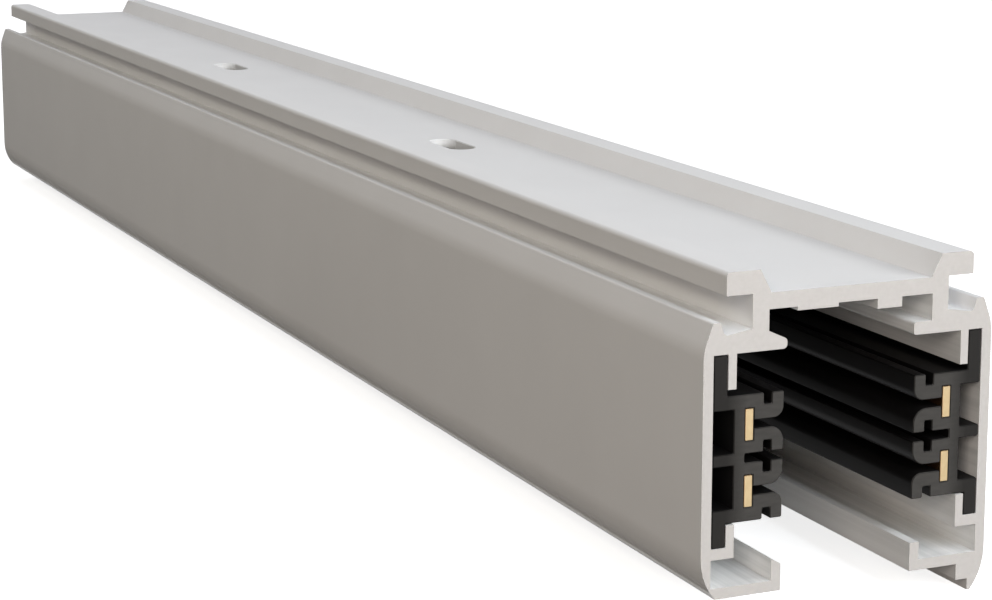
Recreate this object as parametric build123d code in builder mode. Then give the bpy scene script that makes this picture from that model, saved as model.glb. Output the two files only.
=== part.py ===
# Short length of three-circuit lighting track: an extruded channel that is open downwards,
# with a plastic insulator on each side wall and two flat conductors in each insulator.
# Millimetres. X is the width, Y the length, Z is up; the photographed end is at the lowest Y.
# The origin is the middle of the width and of the length, at the lowest point.

import os

from build123d import *

os.makedirs("parts", exist_ok=True)

# Overall size
width = 33.0
height = 35.6
length = 302.0

# Walls of the channel
wall = 1.13                       # side walls, flanges and retaining shelves
thin_wall = 0.92                  # ribs and lips that hold the insulators
plate = 1.67                      # top plate, which the mounting screws pass through
lip_rise = 2.35                   # the hooked lips rise above the plate by this much

# How far each feature lies in from the outer face of its side wall
web_outer_inset = 5.3             # webs between shoulders and plate
web_inner_inset = 7.18
lip_outer_inset = 2.4             # hooked lips that the hanging clips grip
lip_inner_inset = 6.14
lip_foot_inset = 7.37
ridge_outer_inset = 1.01          # small ridge along each shoulder
ridge_inner_inset = 1.9
ridge_foot_inset = 2.25
nose_inset = 9.25                 # tips of the guide noses
opening_inset = 9.0               # flanges and insulator tips, beside the opening
rib_outer_inset = 2.75            # ribs that hold the insulators
step_outer_inset = 1.95           # step under the right wall
step_inner_inset = 3.35
conductor_inset = 5.61            # contact face of the conductors
spine_inset = 3.48                # back of an insulator's spine
relief_outer_inset = 6.78         # narrow groove behind the tip of each insulator arm
relief_inner_inset = 7.65

# Shoulders with a small ridge and a sloping groove floor; heights above their underside
shoulder_drop = 8.1               # from the top of the lips down to the underside
shoulder_edge_rise = 0.43         # end of the upright wall, where the slope to the ridge starts
shoulder_round = 5.0
groove_high_rise = 2.33
groove_low_rise = 1.85
groove_round = 0.5
ridge_rise = 3.22
ridge_round = 0.25
lip_round = 0.5

# Guide noses on the shoulders' underside, one shape on each side so that an adapter fits one way
nose_left_rise = 1.93
nose_left_tip_rise = 0.98
nose_left_round = 0.45
nose_right_rise = 1.33
nose_right_round = 0.3

# Pads under the plate that set the height of an adapter, also different on each side
pad_shallow = (-6.16, -1.53, 0.39)
pad_deep = (2.91, 5.77, 1.02)

# Shelves, ribs and small lips that hold the insulators
shelf_top = 8.06
rib_gap = 0.64                    # between a rib and the insulator's body below it
small_lip_gap = 0.15              # between a small lip and the insulator's body above it

# Flanges beside the opening
flange_bottom = 2.9
upstand = 1.1
upstand_top = 5.88
upstand_left_high = 6.3
upstand_left_low = 5.67

# Curved foot of the walls; the right one runs down past its flange in two steps
foot_radius = 6.7
foot_rise = 4.35
step_height = 1.21

# Slots for the mounting screws, along the middle of the plate
slot_length = 10.0
slot_width = 3.7
slot_pitch = 97.5

# Conductors and the insulators round them
conductor_thickness = 0.9
conductor_height = 3.2
clearance = 0.05                  # between parts that are pushed into each other
insulator_half_height = 6.42
insulator_drop = 0.88             # its middle level lies this far below the middle of its bay
middle_gap = 0.92
contact_gap = 0.86
contact_height = 3.36             # of a contact gap from the insulator's middle level
middle_leg = 1.2
relief_depth = 1.15
inner_arm_round = 1.5             # lead-in beside the contact gap
outer_arm_round = 1.1

# Distances from the middle of the track
half = width / 2
wall_inner = half - wall
web_outer = half - web_outer_inset
web_inner = half - web_inner_inset
lip_outer = half - lip_outer_inset
lip_inner = half - lip_inner_inset
lip_foot = half - lip_foot_inset
ridge_outer = half - ridge_outer_inset
ridge_inner = half - ridge_inner_inset
ridge_foot = half - ridge_foot_inset
nose_reach = half - nose_inset
opening_half = half - opening_inset
rib_outer = half - rib_outer_inset
step_outer = half - step_outer_inset
step_inner = half - step_inner_inset

# Levels
plate_top = height - lip_rise
shoulder_underside = height - shoulder_drop
shoulder_edge = shoulder_underside + shoulder_edge_rise
groove_floor_high = shoulder_underside + groove_high_rise
groove_floor_low = shoulder_underside + groove_low_rise
ridge_top = shoulder_underside + ridge_rise
nose_left_top = shoulder_underside + nose_left_rise
nose_left_tip = shoulder_underside + nose_left_tip_rise
nose_right_top = shoulder_underside + nose_right_rise
insulator_middle = (shelf_top + shoulder_underside) / 2 - insulator_drop
insulator_top = insulator_middle + insulator_half_height
insulator_bottom = insulator_middle - insulator_half_height
rib_bottom = insulator_top + rib_gap
lip_top = insulator_bottom - small_lip_gap

# Insulator fitted between rib and wall, level with the flanges at its tips
insulator_tip = opening_half
leg_inner = rib_outer + clearance
leg_outer = wall_inner - clearance
spine_back = half - spine_inset
relief_outer = half - relief_outer_inset
relief_inner = half - relief_inner_inset

# Pocket that a conductor slides into
conductor_face = half - conductor_inset
pocket_back = conductor_face + conductor_thickness
pocket_height = conductor_height + 2 * clearance

# How far the foot's curve comes in from the wall's face over its rise
foot_inset = foot_radius - (foot_radius**2 - foot_rise**2) ** 0.5


# Channel, one aluminium extrusion
with BuildPart() as channel:
    with BuildSketch(Plane.XZ) as channel_section:
        # Shoulder, wall, web and hooked lip of the right side, then the same on the left
        with BuildLine():
            Polyline(
                (web_inner, shoulder_underside),
                (half, shoulder_underside),
                (half, shoulder_edge),
                (ridge_outer, ridge_top),
                (ridge_inner, ridge_top),
                (ridge_foot, groove_floor_low),
                (web_outer, groove_floor_high),
                (web_inner, groove_floor_high),
                close=True,
            )
        make_face()
        fillet(channel_section.vertices().group_by(Axis.Y)[-1], ridge_round)
        groove_corner = (ridge_foot, groove_floor_low)
        fillet(channel_section.vertices().sort_by_distance(groove_corner)[0], groove_round)
        with BuildLine():
            Polyline(
                (lip_foot, plate_top),
                (lip_inner, height),
                (lip_outer, height),
                (lip_outer, plate_top),
                close=True,
            )
        lip = make_face()
        fillet(lip.vertices().group_by(Axis.X)[-1].sort_by(Axis.Y)[-1], lip_round)
        with Locations((web_inner, shoulder_underside)):
            Rectangle(web_outer - web_inner, plate_top - shoulder_underside, align=Align.MIN)
        with Locations((wall_inner, flange_bottom + foot_rise)):
            Rectangle(wall, shoulder_edge - flange_bottom - foot_rise, align=Align.MIN)
        wall_corners = channel_section.vertices().group_by(Axis.X)[-1]
        fillet(wall_corners.sort_by(Axis.Y)[-1], shoulder_round)
        with Locations((rib_outer - thin_wall, rib_bottom)):
            Rectangle(thin_wall, shoulder_underside - rib_bottom, align=Align.MIN)
        with Locations((rib_outer - thin_wall, shelf_top - wall)):
            Rectangle(wall_inner - rib_outer + thin_wall, wall, align=Align.MIN)
            Rectangle(thin_wall, lip_top - shelf_top + wall, align=Align.MIN)
        with Locations((opening_half, flange_bottom)):
            Rectangle(step_outer - opening_half, wall, align=Align.MIN)
        mirror(about=Plane.YZ)

        # Plate with its two pads
        with Locations((0, plate_top)):
            Rectangle(2 * web_outer, plate, align=(Align.CENTER, Align.MAX))
        for pad_start, pad_end, pad_depth in (pad_shallow, pad_deep):
            with Locations((pad_start, plate_top - plate - pad_depth)):
                Rectangle(pad_end - pad_start, pad_depth, align=Align.MIN)

        # Guide noses
        with BuildLine():
            Polyline(
                (-web_inner, shoulder_underside),
                (-web_inner, nose_left_top),
                (-nose_reach, nose_left_tip),
                (-nose_reach, shoulder_underside),
                close=True,
            )
        make_face()
        left_tip = (-nose_reach, (nose_left_tip + shoulder_underside) / 2)
        fillet(channel_section.vertices().sort_by_distance(left_tip)[:2], nose_left_round)
        with Locations((nose_reach, shoulder_underside)):
            Rectangle(web_outer - nose_reach, nose_right_top - shoulder_underside, align=Align.MIN)
        right_tip = (nose_reach, (nose_right_top + shoulder_underside) / 2)
        fillet(channel_section.vertices().sort_by_distance(right_tip)[:2], nose_right_round)

        # Left foot with a slanted upstand
        with BuildLine():
            RadiusArc(
                (-half, flange_bottom + foot_rise), (-half + foot_inset, flange_bottom), -foot_radius
            )
            Polyline(
                (-half + foot_inset, flange_bottom),
                (-opening_half, flange_bottom),
                (-opening_half, upstand_left_low),
                (-opening_half - upstand, upstand_left_high),
                (-opening_half - upstand, flange_bottom + wall),
                (-wall_inner, flange_bottom + wall),
                (-wall_inner, flange_bottom + foot_rise),
                (-half, flange_bottom + foot_rise),
            )
        make_face()

        # Right foot with its steps and a square upstand
        with BuildLine():
            RadiusArc((half, foot_rise), (half - foot_inset, 0), foot_radius)
            Polyline(
                (half - foot_inset, 0),
                (step_outer, 0),
                (step_outer, step_height),
                (step_inner, step_height),
                (step_inner, flange_bottom),
                (opening_half, flange_bottom),
                (opening_half, upstand_top),
                (opening_half + upstand, upstand_top),
                (opening_half + upstand, flange_bottom + wall),
                (wall_inner, flange_bottom + wall),
                (wall_inner, flange_bottom + foot_rise),
                (half, flange_bottom + foot_rise),
                (half, foot_rise),
            )
        make_face()
    extrude(amount=length / 2, both=True)

    # Slots for the mounting screws
    with BuildSketch(Plane.XY.offset(plate_top)):
        with Locations((0, -slot_pitch / 2), (0, slot_pitch / 2)):
            SlotOverall(slot_length, slot_width, rotation=90)
    extrude(amount=-(plate + pad_shallow[2]), mode=Mode.SUBTRACT)

# Insulator on the right wall, one plastic extrusion: drawn above its middle level and mirrored down
with BuildPart() as insulator_right:
    with BuildSketch(Plane.XZ):
        gap_low = insulator_middle + contact_height - contact_gap / 2
        gap_high = insulator_middle + contact_height + contact_gap / 2
        bar_low = insulator_middle + contact_height + pocket_height / 2
        with Locations((insulator_tip, insulator_middle + middle_gap / 2)):
            inner_arm = Rectangle(
                pocket_back - insulator_tip,
                gap_low - insulator_middle - middle_gap / 2,
                align=Align.MIN,
            )
        fillet(inner_arm.vertices().group_by(Axis.X)[0].sort_by(Axis.Y)[-1], inner_arm_round)
        with Locations((insulator_tip, gap_high)):
            outer_arm = Rectangle(
                pocket_back - insulator_tip, insulator_top - gap_high, align=Align.MIN
            )
        fillet(outer_arm.vertices().group_by(Axis.X)[0].sort_by(Axis.Y)[0], outer_arm_round)
        with Locations((conductor_face, insulator_middle + middle_gap / 2)):
            Rectangle(
                pocket_back - conductor_face, insulator_top - insulator_middle - middle_gap / 2,
                align=Align.MIN,
            )
        with Locations((conductor_face - clearance, bar_low - pocket_height)):
            Rectangle(
                pocket_back - conductor_face + clearance, pocket_height,
                align=Align.MIN, mode=Mode.SUBTRACT,
            )
        with Locations((relief_inner, insulator_middle)):
            Rectangle(
                relief_outer - relief_inner, middle_gap / 2 + relief_depth,
                align=Align.MIN, mode=Mode.SUBTRACT,
            )
        with Locations((relief_inner, insulator_top - relief_depth)):
            Rectangle(
                relief_outer - relief_inner, relief_depth, align=Align.MIN, mode=Mode.SUBTRACT
            )
        with Locations((pocket_back, insulator_middle)):
            Rectangle(spine_back - pocket_back, insulator_half_height, align=Align.MIN)
            Rectangle(leg_outer - pocket_back, middle_leg / 2, align=Align.MIN)
        with Locations((spine_back, bar_low)):
            Rectangle(leg_outer - spine_back, insulator_top - bar_low, align=Align.MIN)
        mirror(about=Plane.XZ.offset(-insulator_middle))
        with Locations((leg_inner, shelf_top)):
            Rectangle(
                leg_outer - leg_inner, insulator_bottom - shelf_top,
                align=Align.MIN,
            )
        with Locations((leg_inner, insulator_top)):
            Rectangle(
                leg_outer - leg_inner, shoulder_underside - clearance - insulator_top,
                align=Align.MIN,
            )
    extrude(amount=length / 2, both=True)

# Conductors in the right insulator, flat copper strips that lie against the back of their pockets
with BuildPart() as conductor_right_upper:
    with Locations((conductor_face, 0, insulator_middle + contact_height)):
        Box(
            conductor_thickness, length, conductor_height,
            align=(Align.MIN, Align.CENTER, Align.CENTER),
        )

with BuildPart() as conductor_right_lower:
    with Locations((conductor_face, 0, insulator_middle - contact_height)):
        Box(
            conductor_thickness, length, conductor_height,
            align=(Align.MIN, Align.CENTER, Align.CENTER),
        )

# The left wall carries the same parts, mirrored
with BuildPart() as insulator_left:
    add(insulator_right.part.mirror(Plane.YZ))

with BuildPart() as conductor_left_upper:
    add(conductor_right_upper.part.mirror(Plane.YZ))

with BuildPart() as conductor_left_lower:
    add(conductor_right_lower.part.mirror(Plane.YZ))

parts = {
    "channel": channel,
    "insulator_left": insulator_left,
    "insulator_right": insulator_right,
    "conductor_left_upper": conductor_left_upper,
    "conductor_left_lower": conductor_left_lower,
    "conductor_right_upper": conductor_right_upper,
    "conductor_right_lower": conductor_right_lower,
}
for node, piece in parts.items():
    piece.part.label = node
    export_step(piece.part, f"parts/{node}.step")
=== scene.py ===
import math

import bmesh
import bpy
from mathutils import Matrix, Vector


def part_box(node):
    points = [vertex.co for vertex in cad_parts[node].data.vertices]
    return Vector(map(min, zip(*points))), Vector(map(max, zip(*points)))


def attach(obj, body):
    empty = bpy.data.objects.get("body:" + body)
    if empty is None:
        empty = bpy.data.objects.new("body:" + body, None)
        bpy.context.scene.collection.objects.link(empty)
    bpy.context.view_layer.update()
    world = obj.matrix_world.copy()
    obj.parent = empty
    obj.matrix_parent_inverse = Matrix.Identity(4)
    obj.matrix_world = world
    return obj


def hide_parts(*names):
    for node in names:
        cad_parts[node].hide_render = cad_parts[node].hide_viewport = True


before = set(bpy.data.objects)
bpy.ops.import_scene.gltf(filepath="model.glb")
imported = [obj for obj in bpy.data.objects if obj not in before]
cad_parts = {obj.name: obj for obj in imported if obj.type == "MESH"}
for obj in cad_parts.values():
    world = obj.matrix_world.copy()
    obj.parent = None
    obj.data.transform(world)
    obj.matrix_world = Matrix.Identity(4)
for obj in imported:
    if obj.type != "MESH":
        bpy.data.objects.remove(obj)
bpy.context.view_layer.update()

# Channel
# One aluminium extrusion, powder-coated white. The spray hardly reaches the hollow inside, and the
# walls of the two punched screw slots are painted greyer as shade. Both ends were sawn after
# coating, so there the bare metal shows.

# The fine step along its sharp edges, and the one that the slots' rims get first. The narrow
# faces of the rims' step hold the other back to 0.018 mm
channel_step = 0.00014
rim_step = 0.0001


def skin(node, edge_step, rims=None):
    """A copy of a CAD node with its flat faces joined and a fine square step cut along its sharp
    edges, because the bevel's profile is left at its square form.
    Where the two corners of a box are given as rims, the sharp edges in it get rim_step first."""
    crease = math.radians(38)
    same_place = 1e-6
    same_plane = math.radians(1)
    piece = bpy.data.objects.new(f"{node}_skin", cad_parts[node].data.copy())
    bpy.context.scene.collection.objects.link(piece)
    mesh = bmesh.new()
    mesh.from_mesh(piece.data)
    bmesh.ops.remove_doubles(mesh, verts=mesh.verts, dist=same_place)
    bmesh.ops.dissolve_limit(mesh, angle_limit=same_plane, verts=mesh.verts, edges=mesh.edges)
    if rims:
        middles = {edge: (edge.verts[0].co + edge.verts[1].co) / 2 for edge in mesh.edges}
        rim = [
            edge
            for edge, middle in middles.items()
            if edge.calc_face_angle(0) > crease
            and all(rims[0][i] < middle[i] < rims[1][i] for i in range(3))
        ]
        bmesh.ops.bevel(mesh, geom=rim, offset=rim_step, segments=5, affect="EDGES")
    sharp = [edge for edge in mesh.edges if edge.calc_face_angle(0) > crease]
    bmesh.ops.bevel(
        mesh, geom=sharp, offset=edge_step, segments=2, affect="EDGES", clamp_overlap=True
    )
    for face in mesh.faces:
        face.smooth = True
    mesh.to_mesh(piece.data)
    mesh.free()
    piece.data.materials.clear()
    piece.modifiers.new("flat faces stay flat", "WEIGHTED_NORMAL")
    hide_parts(node)
    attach(piece, "root")
    return piece


def linear(code):
    """Linear colour of an sRGB hex code."""
    parts = [int(code[i : i + 2], 16) / 255 for i in (1, 3, 5)]
    return [p / 12.92 if p <= 0.04045 else ((p + 0.055) / 1.055) ** 2.4 for p in parts] + [1.0]


def add(tree, kind, links, **settings):
    """Adds a node with its settings; each link is a value or another node's socket."""
    node = tree.nodes.new(kind)
    for key, value in settings.items():
        setattr(node, key, value)
    for socket, value in links.items():
        if isinstance(value, bpy.types.NodeSocket):
            tree.links.new(value, node.inputs[socket])
        else:
            node.inputs[socket].default_value = value
    return node


def material(name):
    """A new material: itself, its node tree, its shader and the object coordinates."""
    made = bpy.data.materials.new(name)
    made.use_nodes = True
    tree = made.node_tree
    place = add(tree, "ShaderNodeTexCoord", {}).outputs["Object"]
    return made, tree, tree.nodes["Principled BSDF"], place


# The Mix node has its two colours and their mix at these numbers
colour_a, colour_b, mixed = 6, 7, 2

# Powder coat: the film's thickness varies over about 12 mm, which gives the eye a faint
# clouding of the white, and the cured powder's orange peel of 1.1 mm breaks up the highlights
cloud_size = 0.012
peel_size = 0.0011
peel_depth = 0.00004
coat, tree, shader, place = material("powder_coat_white")
film = add(tree, "ShaderNodeTexNoise", {"Vector": place, "Scale": 1 / cloud_size, "Detail": 3.0})
tint = add(
    tree,
    "ShaderNodeMix",
    {colour_a: linear("#EDEDED"), colour_b: linear("#F3F3F3"), "Factor": film.outputs["Fac"]},
    data_type="RGBA",
)
tree.links.new(tint.outputs[mixed], shader.inputs["Base Color"])
shader.inputs["Roughness"].default_value = 0.55
shader.inputs["Specular IOR Level"].default_value = 0.04
peel = add(tree, "ShaderNodeTexNoise", {"Vector": place, "Scale": 1 / peel_size, "Detail": 2.0})
bump = add(
    tree,
    "ShaderNodeBump",
    {"Height": peel.outputs["Fac"], "Strength": 0.25, "Distance": peel_depth},
)
tree.links.new(bump.outputs["Normal"], shader.inputs["Normal"])

# Thin coat inside: overspray over mill finish, which the die left with fine lines along the
# length. They are drawn 0.9 mm wide, coarser than the real ones, so that they show as streaks
die_line_width = 0.0009
die_line_depth = 0.00003
die_line_slenderness = 0.004
thin_coat, tree, shader, place = material("thin_coat_inside")
stretch = add(
    tree, "ShaderNodeMapping", {"Vector": place, "Scale": (1.0, die_line_slenderness, 1.0)}
)
streak = add(
    tree,
    "ShaderNodeTexNoise",
    {"Vector": stretch.outputs["Vector"], "Scale": 1 / die_line_width, "Detail": 3.0},
)
band = add(
    tree,
    "ShaderNodeMapRange",
    {"Value": streak.outputs["Fac"], "From Min": 0.3, "From Max": 0.7},
)
tint = add(
    tree,
    "ShaderNodeMix",
    {colour_a: linear("#E0E1E0"), colour_b: linear("#FAFAF9"), "Factor": band.outputs["Result"]},
    data_type="RGBA",
)
tree.links.new(tint.outputs[mixed], shader.inputs["Base Color"])
shader.inputs["Roughness"].default_value = 0.45
bump = add(
    tree,
    "ShaderNodeBump",
    {"Height": streak.outputs["Fac"], "Strength": 0.2, "Distance": die_line_depth},
)
tree.links.new(bump.outputs["Normal"], shader.inputs["Normal"])

# Sawn aluminium: bare and dull, with slightly bowed saw marks, because the end lies 210 mm to
# the right of the blade's centre and 160 mm above it. The marks are 2.8 mm apart and the grain
# is 0.4 mm, both drawn coarser than the real ones, so that they show
from_blade_centre = (0.21, 0.0, 0.16)
ring_size = 0.009
mark_depth = 0.00001
grain_size = 0.0004
sawn, tree, shader, place = material("aluminium_sawn_end")
centred = add(tree, "ShaderNodeMapping", {"Vector": place, "Location": from_blade_centre})
bow = add(
    tree,
    "ShaderNodeTexWave",
    {
        "Vector": centred.outputs["Vector"],
        "Scale": 1 / ring_size,
        "Distortion": 2.0,
        "Detail": 4.0,
        "Detail Scale": 6.0,
    },
    wave_type="RINGS",
    rings_direction="Y",
)
grain = add(tree, "ShaderNodeTexNoise", {"Vector": place, "Scale": 1 / grain_size, "Detail": 4.0})
tint = add(
    tree,
    "ShaderNodeMix",
    {colour_a: linear("#ACA8A5"), colour_b: linear("#B6B3B0"), "Factor": grain.outputs["Fac"]},
    data_type="RGBA",
)
tree.links.new(tint.outputs[mixed], shader.inputs["Base Color"])
shader.inputs["Metallic"].default_value = 0.35
shader.inputs["Roughness"].default_value = 0.6
bump = add(
    tree,
    "ShaderNodeBump",
    {"Height": bow.outputs["Fac"], "Strength": 0.15, "Distance": mark_depth},
)
tree.links.new(bump.outputs["Normal"], shader.inputs["Normal"])

# Punched slot walls: streaks 0.3 mm wide and 1 mm high that the punch tore upright, on a grey that
# is painted shade, so they look greyer than the plate
tear_width = 0.0003
slot_wall_painted_shade, tree, shader, place = material("punched_slot_painted_shade")
upright = add(tree, "ShaderNodeMapping", {"Vector": place, "Scale": (1.0, 1.0, 0.3)})
torn = add(
    tree,
    "ShaderNodeTexNoise",
    {"Vector": upright.outputs["Vector"], "Scale": 1 / tear_width, "Detail": 2.0},
)
tint = add(
    tree,
    "ShaderNodeMix",
    {colour_a: linear("#D2D2D2"), colour_b: linear("#DFDFDF"), "Factor": torn.outputs["Fac"]},
    data_type="RGBA",
)
tree.links.new(tint.outputs[mixed], shader.inputs["Base Color"])
shader.inputs["Roughness"].default_value = 0.7
shader.inputs["Specular IOR Level"].default_value = 0.2

# Places that part one finish from the next, in metres, worked out from the frame's box
low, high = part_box("channel")
half_width, height = high[0], high[2]
plate_top = height - 0.00235
plate_under = plate_top - 0.00167
shoulder_under = height - 0.0081
wall_inner = half_width - 0.00113
web_inner = half_width - 0.00718
flange_bottom = 0.0029
slot_half_width = 0.00185
beside_slot = slot_half_width + 0.00025
slots_reach = 0.1
margin = 0.0001

# How straight a face's normal points out of a sawn end, and how level it is on a slot's wall
flat_end = 0.95
upright_wall = 0.3

channel = skin(
    "channel",
    channel_step,
    rims=(
        (-beside_slot, -slots_reach, plate_top - margin),
        (beside_slot, slots_reach, plate_top + margin),
    ),
)
finishes = [coat, thin_coat, sawn, slot_wall_painted_shade]
for finish in finishes:
    channel.data.materials.append(finish)
for face in channel.data.polygons:
    x, y, z = abs(face.center.x), face.center.y, face.center.z
    at_end = min(y - low[1], high[1] - y) < margin
    in_plate = plate_under + margin < z < plate_top + margin
    in_slot = in_plate and x < beside_slot
    under_shoulders = flange_bottom + margin < z < shoulder_under + margin and x < wall_inner + margin
    under_plate = z < plate_under + margin and x < web_inner + margin
    if at_end and abs(face.normal.y) > flat_end:
        face.material_index = finishes.index(sawn)
    # The slot walls take the grey that is painted shade
    elif in_slot and abs(face.normal.z) < upright_wall:
        face.material_index = finishes.index(slot_wall_painted_shade)
    elif under_shoulders or under_plate:
        face.material_index = finishes.index(thin_coat)

# Insulators
# Two black plastic extrusions pushed in along the side walls. Their skin is smooth from the
# die, and the saw left the ends greyer and scratched.
insulator_step = 0.00009

# Extruded black plastic: a dull sheen with lines along the length from the die, which are
# drawn 0.6 mm wide, coarser than the real ones, so that they show
skin_line_width = 0.0006
skin_line_depth = 0.00003
plastic, tree, shader, place = material("black_plastic_extruded")
shader.inputs["Base Color"].default_value = linear("#0D0C0C")
shader.inputs["Roughness"].default_value = 0.5
shader.inputs["Specular IOR Level"].default_value = 0.08
stretch = add(tree, "ShaderNodeMapping", {"Vector": place, "Scale": (1.0, 0.006, 1.0)})
streak = add(
    tree,
    "ShaderNodeTexNoise",
    {"Vector": stretch.outputs["Vector"], "Scale": 1 / skin_line_width, "Detail": 2.0},
)
bump = add(
    tree,
    "ShaderNodeBump",
    {"Height": streak.outputs["Fac"], "Strength": 0.15, "Distance": skin_line_depth},
)
tree.links.new(bump.outputs["Normal"], shader.inputs["Normal"])

# Sawn black plastic: the saw smeared it across in scratches 0.5 mm high and 2 mm wide, which
# gives the eye a matt grey. Toward the side walls it ends in darker legs, which is painted shade
smear_height = 0.0005
smear_depth = 0.00004
leg_shade_start = 0.0116
leg_shade_end = 0.0138
cut_plastic, tree, shader, place = material("black_plastic_sawn")
sideways = add(tree, "ShaderNodeMapping", {"Vector": place, "Scale": (0.25, 1.0, 1.0)})
smear = add(
    tree,
    "ShaderNodeTexNoise",
    {"Vector": sideways.outputs["Vector"], "Scale": 1 / smear_height, "Detail": 4.0},
)
tint = add(
    tree,
    "ShaderNodeMix",
    {colour_a: linear("#2E2D2B"), colour_b: linear("#454341"), "Factor": smear.outputs["Fac"]},
    data_type="RGBA",
)
axes = add(tree, "ShaderNodeSeparateXYZ", {"Vector": place})
across = add(tree, "ShaderNodeMath", {0: axes.outputs["X"]}, operation="ABSOLUTE")
outward = add(
    tree,
    "ShaderNodeMapRange",
    {"Value": across.outputs[0], "From Min": leg_shade_start, "From Max": leg_shade_end},
)
# Painted shade: the legs beside the side walls turn dark brown-black
legs_painted_shade = add(
    tree,
    "ShaderNodeMix",
    {
        colour_a: tint.outputs[mixed],
        colour_b: linear("#141210"),
        "Factor": outward.outputs["Result"],
    },
    data_type="RGBA",
)
tree.links.new(legs_painted_shade.outputs[mixed], shader.inputs["Base Color"])
shader.inputs["Roughness"].default_value = 0.7
shader.inputs["Specular IOR Level"].default_value = 0.2
bump = add(
    tree,
    "ShaderNodeBump",
    {"Height": smear.outputs["Fac"], "Strength": 0.3, "Distance": smear_depth},
)
tree.links.new(bump.outputs["Normal"], shader.inputs["Normal"])

# A face whose normal points along the length by more than this is part of a cut end
end_facing = 0.6
for side in ("left", "right"):
    insulator = skin(f"insulator_{side}", insulator_step)
    insulator.data.materials.append(plastic)
    insulator.data.materials.append(cut_plastic)
    for face in insulator.data.polygons:
        face.material_index = int(abs(face.normal.y) > end_facing)

# Conductors
# Four flat copper strips slid into the insulators' pockets. The drawn faces are painted darker as
# shade for the pockets, and the sheared ends are pale.
conductor_step = 0.00005

# Drawn copper: satin metal painted dark as pocket shade, with faint stains of 4 mm where it was
# handled
stain_size = 0.004
copper, tree, shader, place = material("copper_drawn_stains_and_shade")
shader.inputs["Metallic"].default_value = 1.0
shader.inputs["Roughness"].default_value = 0.35
stain = add(tree, "ShaderNodeTexNoise", {"Vector": place, "Scale": 1 / stain_size, "Detail": 4.0})
tint = add(
    tree,
    "ShaderNodeMix",
    {colour_a: linear("#9E6B45"), colour_b: linear("#B98A60"), "Factor": stain.outputs["Fac"]},
    data_type="RGBA",
)
tree.links.new(tint.outputs[mixed], shader.inputs["Base Color"])

# Sheared copper: the blade polishes one part of the cut and tears the rest, which gives the
# eye pale patches of 0.7 mm
patch_size = 0.0007
copper_end, tree, shader, place = material("copper_sheared_end")
patch = add(tree, "ShaderNodeTexNoise", {"Vector": place, "Scale": 1 / patch_size, "Detail": 3.0})
tint = add(
    tree,
    "ShaderNodeMix",
    {colour_a: linear("#A9946F"), colour_b: linear("#BFAA85"), "Factor": patch.outputs["Fac"]},
    data_type="RGBA",
)
tree.links.new(tint.outputs[mixed], shader.inputs["Base Color"])
shader.inputs["Metallic"].default_value = 0.5
shader.inputs["Roughness"].default_value = 0.5

for side in ("left", "right"):
    for level in ("upper", "lower"):
        strip = skin(f"conductor_{side}_{level}", conductor_step)
        strip.data.materials.append(copper)
        strip.data.materials.append(copper_end)
        for face in strip.data.polygons:
            face.material_index = int(abs(face.normal.y) > end_facing)

# Studio
# Pale floor, white background and the photograph's own camera. Four soft lamps stand before
# the near end, the left one warm, one behind the far end, and a long tube beside the left wall.


def showing_rays(tree):
    """1 for a ray that shows the surface to the camera, directly, in gloss or through glass,
    and 0 for one that carries its light to the object."""
    path = add(tree, "ShaderNodeLightPath", {})
    either = add(
        tree,
        "ShaderNodeMath",
        {0: path.outputs["Is Camera Ray"], 1: path.outputs["Is Glossy Ray"]},
        operation="MAXIMUM",
    )
    return add(
        tree,
        "ShaderNodeMath",
        {0: either.outputs[0], 1: path.outputs["Is Transmission Ray"]},
        operation="MAXIMUM",
    ).outputs[0]


# Paper floor: matt and white to the eye, and dark to the light that would bounce off it. Its
# own glow hides the lamps' uneven light, and leaves the object's shadow
floor_size = 2.5
floor_glow = 0.8
scene = bpy.context.scene
bpy.ops.mesh.primitive_plane_add(size=floor_size)
floor = bpy.context.object
floor.name = "floor"
paper, tree, shader, _ = material("paper_floor")
shader.inputs["Roughness"].default_value = 1.0
shader.inputs["Specular IOR Level"].default_value = 0.0
seen = showing_rays(tree)
tint = add(
    tree,
    "ShaderNodeMix",
    {colour_a: linear("#303030"), colour_b: linear("#F6F6F6"), "Factor": seen},
    data_type="RGBA",
)
tree.links.new(tint.outputs[mixed], shader.inputs["Base Color"])
shader.inputs["Emission Color"].default_value = (1, 1, 1, 1)
glow = add(tree, "ShaderNodeMath", {0: seen, 1: floor_glow}, operation="MULTIPLY")
tree.links.new(glow.outputs[0], shader.inputs["Emission Strength"])
floor.data.materials.append(paper)

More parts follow.
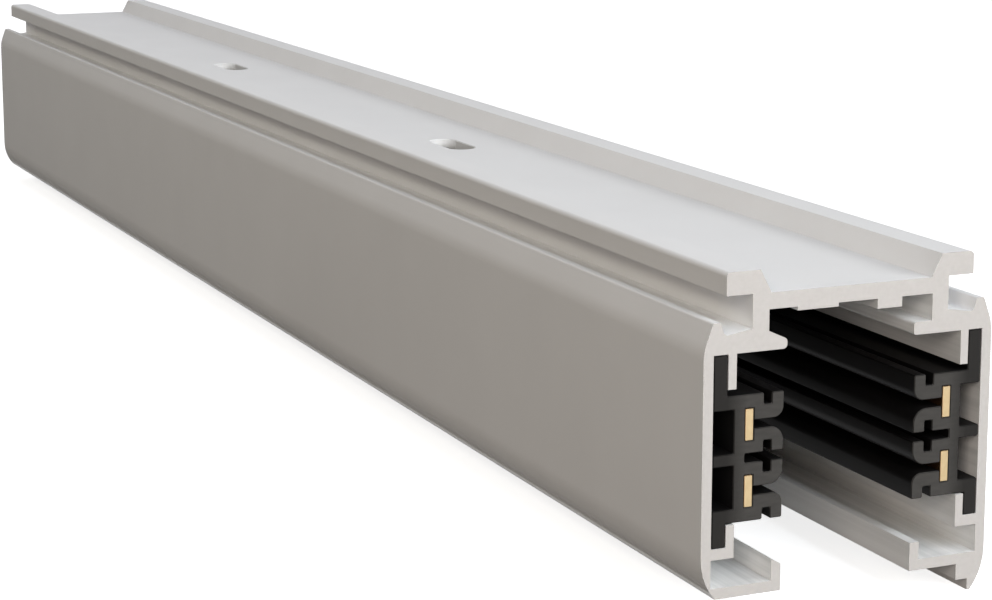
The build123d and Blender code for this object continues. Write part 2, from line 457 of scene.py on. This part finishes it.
# Room: white to the eye, and a weak warm light on the object
world = bpy.data.worlds.new("white_room")
scene.world = world
world.use_nodes = True
tree = world.node_tree
room = add(tree, "ShaderNodeBackground", {"Color": linear("#FFF6EA"), "Strength": 0.02})
white = add(tree, "ShaderNodeBackground", {"Color": (1, 1, 1, 1), "Strength": 1.0})
both = add(
    tree,
    "ShaderNodeMixShader",
    {"Fac": showing_rays(tree), 1: room.outputs[0], 2: white.outputs[0]},
)
tree.links.new(both.outputs[0], tree.nodes["World Output"].inputs["Surface"])


def area_light(name, place, target, size, power, colour):
    """A soft light of a width and height at a place, turned to a target, all in metres."""
    light = bpy.data.lights.new(name, "AREA")
    light.shape = "RECTANGLE"
    light.size, light.size_y = size
    light.energy = power
    light.color = colour
    lamp = bpy.data.objects.new(name, light)
    scene.collection.objects.link(lamp)
    turn = (Vector(place) - Vector(target)).to_track_quat("Z", "Y")
    lamp.matrix_world = Matrix.Translation(place) @ turn.to_matrix().to_4x4()


middle = (0, 0, 0)
near_end = (0, low[1], 0.02)
left_wall = (low[0], 0, 0.02)
area_light("far_end", (0.0, 0.9, 0.7), middle, (0.7, 0.7), 2.6, (0.97, 0.97, 1.06))
area_light("front_high", (0.05, -0.8, 0.6), near_end, (0.4, 0.4), 2.3, (0.89, 0.99, 1.12))
area_light("right_front", (0.7, -0.75, 0.5), middle, (0.5, 0.5), 6.4, (0.99, 1.0, 1.01))
area_light("front", (0.1, -1.0, 0.25), near_end, (0.5, 0.5), 3.5, (1.04, 1.01, 0.95))
area_light("front_left", (-0.6, -0.8, 0.3), near_end, (0.5, 0.5), 2.45, (1.12, 0.98, 0.87))
area_light("left_tube", (-0.15, 0.0, 0.14), left_wall, (0.7, 0.04), 0.12, (1.03, 1.0, 0.88))

# The camera, solved from the photograph: its place in metres and its turns in degrees
camera_place = (-0.12949, -0.35945, 0.08345)
to_the_right = 23.443
downwards = 10.462
roll = 0.045
scene.view_settings.view_transform = "Standard"
camera = bpy.data.objects.new("camera", bpy.data.cameras.new("camera"))
scene.collection.objects.link(camera)
scene.camera = camera
camera.data.lens = 91.51
camera.data.sensor_width = 36
camera.data.shift_x = 0.0082
camera.data.shift_y = -0.0693
camera.data.clip_start = 0.01
turn = (
    Matrix.Rotation(math.radians(-to_the_right), 4, "Z")
    @ Matrix.Rotation(math.radians(90 - downwards), 4, "X")
    @ Matrix.Rotation(math.radians(-roll), 4, "Z")
)
camera.matrix_world = Matrix.Translation(camera_place) @ turn
